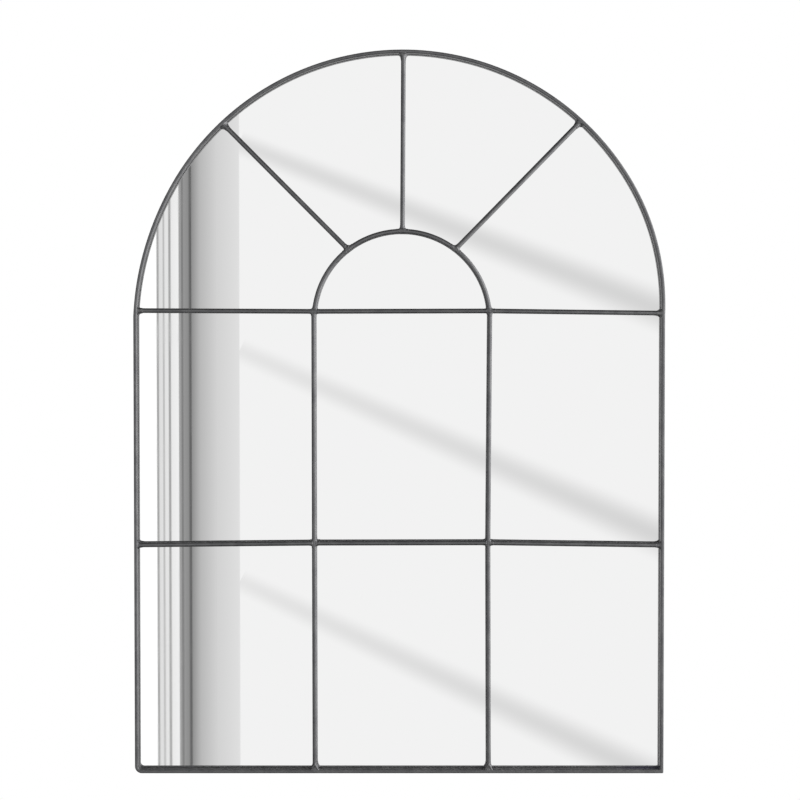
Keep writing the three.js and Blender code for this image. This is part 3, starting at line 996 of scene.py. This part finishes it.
# Closed-cell foam, black for the tape and white for the sheet: matt, with small burst cells.
def makeFoam(name, dark, light, cell):
    material, place = startMaterial(name)
    cells = addNode(material, "TexVoronoi", {"Vector": place, "Scale": scaleOf(cell)}, "Distance")
    colour = addNode(material, "Mix", {0: cells, 6: light, 7: dark}, 2, data_type="RGBA")
    bump = addNode(material, "Bump", {"Height": cells, "Distance": 0.15 * mm}, invert=True)
    return finishMaterial(material, Base_Color=colour, Roughness=0.85, Normal=bump)


# Pressed fibreboard: warm brown, matt, with matted fibres and a few dark specks of bark.
board = {
    "dark": "#8b6642",
    "light": "#b08a5e",
    "bark": "#5c4229",
    "fibre": (1.2, 9),          # mm, across and along
    "turns": (20, 80, 140),     # degrees
    "speck": 3,
    "depth": 0.12,
}


def makeBoard():
    material, place = startMaterial("pressed_fibreboard")
    short, long = board["fibre"]
    weave = None
    for turn in board["turns"]:
        turned = addNode(material, "Mapping", {"Vector": place, "Scale": (short / long, 1, 1),
                                               "Rotation": (0, math.radians(turn), 0)})
        fibre = addNode(material, "TexNoise", {"Vector": turned, "Scale": scaleOf(short),
                                               "Detail": 3, "Roughness": 0.6})
        weave = addNode(material, "Math", {0: weave, 1: fibre},
                        operation="MAXIMUM") if weave else fibre
    tone = addNode(material, "MapRange", {"Value": weave, 1: 0.42, 2: 0.72})
    base = addNode(material, "Mix", {0: tone, 6: board["dark"], 7: board["light"]}, 2,
                   data_type="RGBA")
    specks = addNode(material, "TexNoise", {"Vector": place, "Scale": scaleOf(board["speck"]),
                                            "Detail": 4})
    bark = addNode(material, "MapRange", {"Value": specks, 1: 0.64, 2: 0.7, 3: 0, 4: 0.8})
    colour = addNode(material, "Mix", {0: bark, 6: base, 7: board["bark"]}, 2, data_type="RGBA")
    bump = addNode(material, "Bump", {"Height": weave, "Distance": board["depth"] * mm})
    return finishMaterial(material, Base_Color=colour, Roughness=0.78, Normal=bump)


# Bright zinc plate on pressed steel: pale bluish metal with cloudy passivation and drawing marks.
zinc = {
    "dark": "#a9aeb6",
    "light": "#cfd2d4",
    "cloud": 4,
    "roughness": (0.24, 0.42),
    "mark": 0.5,
    "markStretch": 0.12,
    "markDepth": 0.02,
}


def makeZinc():
    material, place = startMaterial("bright_zinc_plate")
    clouds = addNode(material, "TexNoise", {"Vector": place, "Scale": scaleOf(zinc["cloud"]),
                                            "Detail": 4, "Distortion": 0.8})
    drawn = addNode(material, "Mapping", {"Vector": place, "Scale": (zinc["markStretch"], 1, 1)})
    marks = addNode(material, "TexNoise", {"Vector": drawn, "Scale": scaleOf(zinc["mark"]),
                                           "Detail": 3})
    tone = addNode(material, "MapRange", {"Value": clouds, 1: 0.3, 2: 0.7})
    colour = addNode(material, "Mix", {0: tone, 6: zinc["dark"], 7: zinc["light"]}, 2,
                     data_type="RGBA")
    low, high = zinc["roughness"]
    rough = addNode(material, "MapRange", {"Value": clouds, 1: 0.3, 2: 0.7, 3: high, 4: low})
    bump = addNode(material, "Bump", {"Height": marks, "Distance": zinc["markDepth"] * mm})
    return finishMaterial(material, Base_Color=colour, Metallic=1.0, Roughness=rough,
                          Normal=bump)


finishes = {
    "gunmetal_paint": makePaint(),
    "black_foam_tape": makeFoam("black_foam_tape", "#141414", "#262626", 0.6),
    "silvered_glass": makeMirror(),
    "white_foam_sheet": makeFoam("white_foam_sheet", "#cfd0ce", "#efefed", 1.4),
    "fibreboard": makeBoard(),
    "zinc_plated_steel": makeZinc(),
}
slots = {row["node"]: row["material_slot"] for row in frame["record"]["subparts"]}
bodyOf = {node: body for body, nodes in frame["record"]["behaviour"]["bodies"].items()
          for node in nodes}


def finishPiece(piece, body, slot):
    piece.data.materials.clear()
    piece.data.materials.append(finishes[slot])
    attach(piece, body)


for node, piece in pieces.items():
    finishPiece(piece, bodyOf[node], slots[node])
    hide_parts(node)
for piece in (*welds, seam):
    finishPiece(piece, "mirror", "gunmetal_paint")
for piece in tacks:
    finishPiece(piece, "mirror", "zinc_plated_steel")

# The glass's edge and back have finishes of their own.
glass = pieces["mirror_glass"].data
for name in grained:
    glass.materials.append(makeGrained(name))
for face in glass.polygons:
    face.material_index = 0 if face.normal.y < -0.9 else 2 if face.normal.y > 0.9 else 1
print("finishes put on")

# ---- studio ----
studio = {
    "floor": ("#e6e6e4", "#efefee"),
    "floorGrain": 30,           # mm
    "floorSize": 3,             # m
    "floorDrop": 600,           # mm below the bottom edge
    "ambient": 0.62,
    "key": {"place": (1450, -900, 420), "size": 0.8, "power": 13},
    "fill": {"place": (-1700, -2300, 560), "size": 1.2, "power": 9},
    "back": {"place": (900, 1700, 1300), "size": 1.6, "power": 26},
}


def makeWorld():
    world = bpy.data.worlds.new("studio")
    bpy.context.scene.world = world
    world.use_nodes = True
    world.node_tree.nodes.clear()
    rays = addNode(world, "LightPath").node.outputs
    seen = addNode(world, "Math", {0: rays["Is Camera Ray"], 1: rays["Is Glossy Ray"]},
                   operation="MAXIMUM")
    seen = addNode(world, "Math", {0: seen, 1: rays["Is Transmission Ray"]}, operation="MAXIMUM")
    level = addNode(world, "MapRange", {"Value": seen, 3: studio["ambient"], 4: 1})
    sky = addNode(world, "Background", {"Color": (1, 1, 1, 1), "Strength": level})
    addNode(world, "OutputWorld", {"Surface": sky})


def addLamp(name):
    lamp = studio[name]
    place = spot(*lamp["place"])
    bpy.ops.object.light_add(type="AREA", location=place)
    light = bpy.context.object
    light.name = "lamp_" + name
    light.rotation_euler = (spot(0, 0, 420) - place).to_track_quat("-Z", "Y").to_euler()
    light.data.shape = "DISK"
    light.data.size = lamp["size"]
    light.data.energy = lamp["power"]
    light.visible_glossy = False    # what reflections see are the cards


def makeFloor():
    bpy.ops.mesh.primitive_plane_add(size=studio["floorSize"],
                                     location=spot(0, 0, -studio["floorDrop"]))
    floor = bpy.context.object
    floor.name = "studio_floor"
    material, place = startMaterial("pale_floor")
    grain = addNode(material, "TexNoise", {"Vector": place, "Detail": 2,
                                           "Scale": scaleOf(studio["floorGrain"])})
    dark, light = studio["floor"]
    colour = addNode(material, "Mix", {0: grain, 6: dark, 7: light}, 2, data_type="RGBA")
    floor.data.materials.append(finishMaterial(material, Base_Color=colour, Roughness=0.8))


# Cards round the set that only reflections see. The dark ones stand outside what the camera sees
# in the glass and shade the edges of the paint. The others stand behind the camera, so that the
# glass shows soft graded tones and reads as a mirror.
cards = {
    "distance": 3000,           # of the cards behind the camera, in front of the frame
    # middle, size in depth and across, turn in degrees, strengths at the front and at the back,
    # and how soft the side edges are
    "dark": {
        "top_front": ((0, -1400, 1450), (2200, 2800), 0, (0, 0.95), 0.5),
        "top_back": ((0, 600, 1450), (1800, 2800), 0, (0.95, 0.6), 0.5),
        "bottom_front": ((0, -1020, -590), (1440, 2400), 0, (0.1, 0.95), 0.8),
        "bottom_back": ((0, 600, -590), (1800, 2400), 0, (0.95, 0.6), 0.8),
        "left_front": ((-1100, -700, 450), (1000, 2600), 90, (0.05, 0.95), 0.4),
        "left_back": ((-1100, 650, 450), (1700, 2600), 90, (0.95, 0.6), 0.4),
        "right": ((900, 720, 450), (1560, 2600), 90, (0.95, 0.6), 0.4),
    },
    "darkTone": 0.15,
    # a tall window wall to the right, which the rods and the rounded arrises catch, with its
    # tones at the front and at the back and its strengths at the top and at the bottom
    "window": {"middle": (1350, -1530, 420), "size": (3600, 2980), "turn": 80.35,
               "tones": (0.9, 5.5), "strengths": (1, 0.4)},
    # seen in the glass: x of the two edges in mm, tones at them, and how soft the edges are
    "upright": {
        "white": ((-330, -279), (1.17, 1.17), 0.02),
        "strips": ((-279, -252), (0.8, 1.0), 0.1),
        "strip_a": ((-280.1, -276.6), (0.42, 0.42), 0.6),
        "strip_b": ((-273, -270), (0.55, 0.55), 0.7),
        "strip_c": ((-266.6, -262.6), (0.4, 0.4), 0.7),
        "shade": ((-254.5, -239), (0.4, 0.26), 0.1),
        "shade_edge": ((-251.6, -248.6), (0.24, 0.24), 0.5),
        "line": ((-243.5, -237.5), (0.14, 0.14), 0.8),
        "grade": ((-239.5, -229), (0.3, 0.55), 0),
        "grade_middle": ((-229.5, -205), (0.54, 0.77), 0),
        "grade_wide": ((-211.5, -184), (0.72, 0.83), 0.03),
    },
    # seen in the glass: both ends in mm, widths there, and strengths there
    "slanting": {
        "high": (((-184, 726), (312, 530)), (34, 63), (0.7, 1)),
        "middle": (((-184, 488), (312, 268)), (34, 63), (0.45, 1)),
        "low": (((-184, 221), (312, -15.6)), (34, 63), (0.45, 1)),
    },
    "slantingTone": 0.74,
}


# A plane card. Its light is even or graded across it, and it can fade at its long edges and ends.
def addCard(name, middle, size, turn, tones, soft=0, strengths=(1, 1), taper=1):
    bpy.ops.object.select_all(action="DESELECT")
    bpy.ops.mesh.primitive_plane_add(size=1, location=middle)
    card = bpy.context.object
    card.name = "studio_card_" + name
    bpy.ops.object.mode_set(mode="EDIT")
    bpy.ops.mesh.subdivide(number_cuts=8)
    shape = bmesh.from_edit_mesh(card.data)
    for corner in shape.verts:      # x runs along the card, y across it
        corner.co.y *= 1 + (taper - 1) * (corner.co.x + 0.5)
    bmesh.update_edit_mesh(card.data)
    leave()
    card.scale = (size[0] * mm, size[1] * mm, 1)
    card.rotation_euler = turn
    for ray in ("camera", "diffuse", "shadow", "transmission", "volume_scatter"):
        setattr(card, "visible_" + ray, False)
    material, place = startMaterial("studio_card_" + name)
    place = addNode(material, "SeparateXYZ", {0: place.node.outputs["UV"]}).node.outputs
    tone = addNode(material, "MapRange", {"Value": place["Y"], 3: tones[0], 4: tones[1]})
    light = addNode(material, "Emission", {"Strength": tone})
    offset = addNode(material, "Math", {0: place["Y"], 1: 0.5}, operation="SUBTRACT")
    edge = addNode(material, "Math", {0: offset}, operation="ABSOLUTE")
    edge = addNode(material, "MapRange", {"Value": edge, 1: 0.5, 2: 0.5 - soft / 2 - 0.001, 3: 0,
                                          4: 1}, interpolation_type="SMOOTHSTEP")
    ends = addNode(material, "MapRange", {"Value": place["X"], 3: strengths[0], 4: strengths[1]})
    share = addNode(material, "Math", {0: edge, 1: ends}, operation="MULTIPLY")
    clear = addNode(material, "BsdfTransparent")
    mixed = addNode(material, "MixShader", {0: share, 1: clear, 2: light})
    addNode(material, "OutputMaterial", {"Surface": mixed})
    card.data.materials.append(material)


# Where a place that the camera sees in the glass lies on the plane of the cards behind it.
def seenInGlass(x, z, nearer=0):
    glassDepth = frontOf("mirror_glass")
    reach = (view["distance"] + cards["distance"] - nearer + 2 * glassDepth) / (
        view["distance"] + glassDepth)
    seenZ = view["height"] + (z - view["height"]) * reach
    return spot(x * reach, -cards["distance"] + nearer, seenZ)


def makeCards():
    for name, (middle, size, turn, strengths, soft) in cards["dark"].items():
        addCard(name, spot(*middle), size, (math.radians(turn), 0, math.pi / 2),
                (cards["darkTone"],) * 2, soft, strengths)
    window = cards["window"]
    addCard("window", spot(*window["middle"]), window["size"],
            (math.pi / 2, math.pi / 2, math.radians(window["turn"])), window["tones"], 0.1,
            window["strengths"])
    for i, (name, ((left, right), tones, soft)) in enumerate(cards["upright"].items()):
        start, end = seenInGlass(left, 400, 10 + i * 5), seenInGlass(right, 400, 10 + i * 5)
        # turned so that across is to the right
        addCard(name, (start + end) / 2, (2600, (end.x - start.x) / mm),
                (math.pi / 2, math.pi / 2, 0), tones, soft)
    for i, (name, (ends, widths, strengths)) in enumerate(cards["slanting"].items()):
        start, end = (seenInGlass(*place) for place in ends)
        run = end - start
        reach = run.length / (math.dist(*ends) * mm)
        addCard(name, (start + end) / 2, (run.length / mm, widths[0] * reach),
                (math.pi / 2, -math.atan2(run.z, run.x), 0), (cards["slantingTone"],) * 2, 1,
                strengths, widths[1] / widths[0])


makeWorld()
for name in ("key", "fill", "back"):
    addLamp(name)
makeFloor()
makeCards()
print("studio set")
bpy.context.scene.view_settings.view_transform = "Standard"
